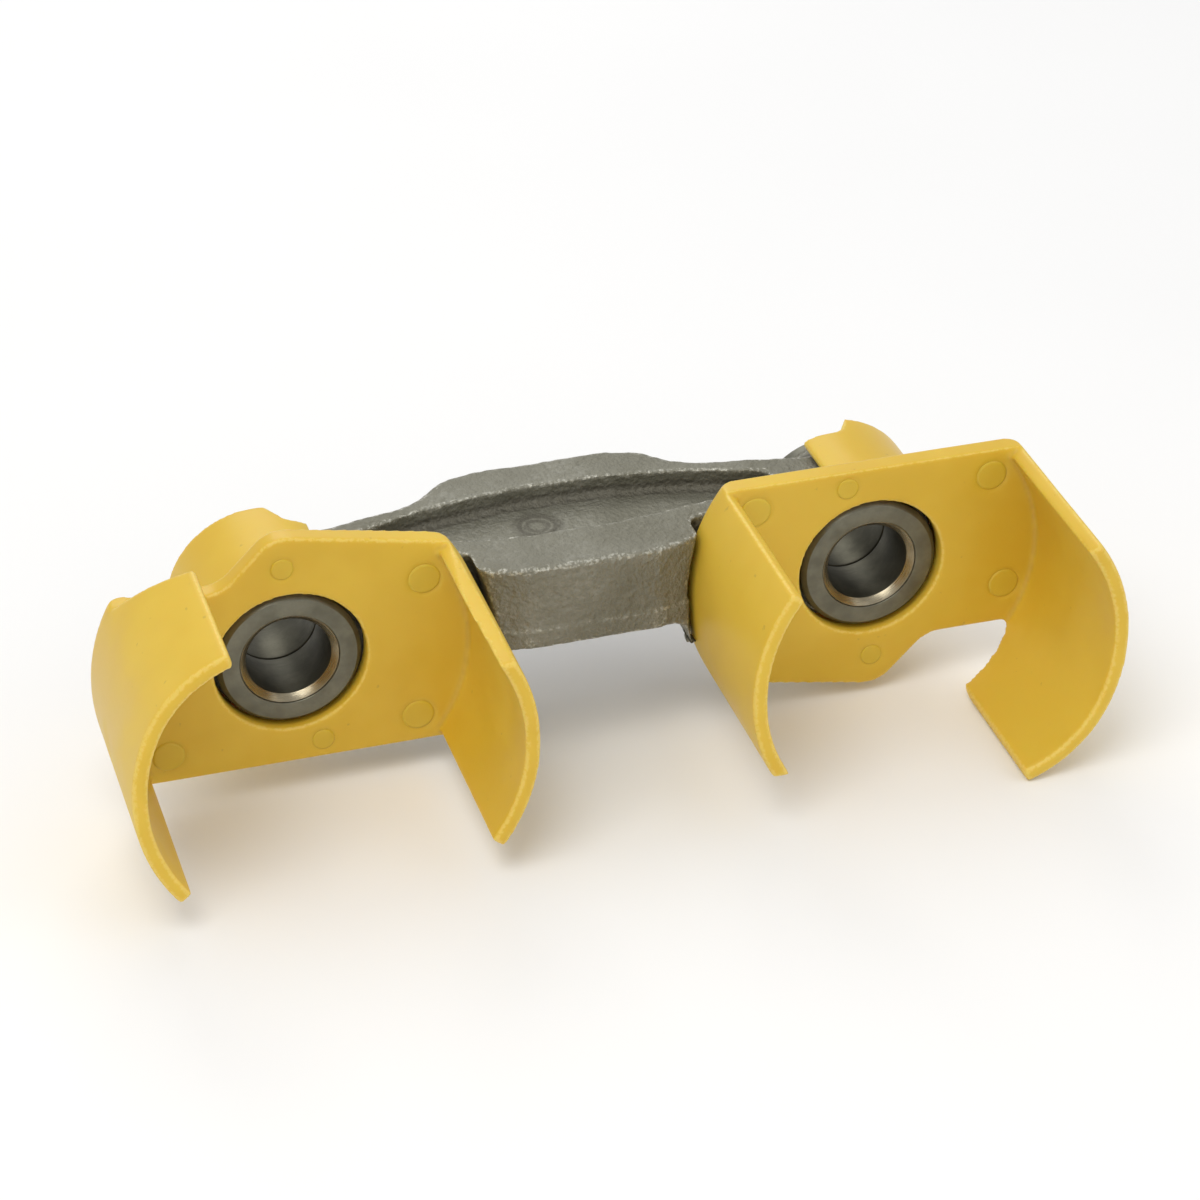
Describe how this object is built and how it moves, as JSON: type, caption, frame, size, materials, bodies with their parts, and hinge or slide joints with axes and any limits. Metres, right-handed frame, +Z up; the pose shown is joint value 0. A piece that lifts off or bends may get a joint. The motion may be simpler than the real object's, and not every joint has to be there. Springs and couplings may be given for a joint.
{
  "type": "forged connecting link",
  "caption": "Forged steel connecting link with a bushed eye at each end and a slide-on moulded guard with curved walls round each eye.",
  "frame": {"origin": "middle of the left eye's bore", "axes": "+X along the link from the left eye to the right eye, +Y along the bores towards the open back of the eyes, the guards pull off towards -Y, +Z up"},
  "size_m": [0.193, 0.0756, 0.059],
  "materials": {
    "forged_steel": "shot-blasted forged skin, bare machined rings",
    "bushing_steel": "ground, lightly oiled",
    "guard_plastic": "satin moulded, slightly translucent yellow"
  },
  "bodies": {
    "link": {"link_forging": "forged_steel", "left_front_bushing": "bushing_steel", "left_rear_bushing": "bushing_steel", "right_front_bushing": "bushing_steel", "right_rear_bushing": "bushing_steel"},
    "left_guard_body": {"left_guard": "guard_plastic"},
    "right_guard_body": {"right_guard": "guard_plastic"}
  },
  "joints": [
    {"name": "left_guard_slide", "type": "slide", "parent": "link", "child": "left_guard_body", "axis": [0, -1, 0], "range_m": [0, 0.035]},
    {"name": "right_guard_slide", "type": "slide", "parent": "link", "child": "right_guard_body", "axis": [0, -1, 0], "range_m": [0, 0.035]}
  ]
}
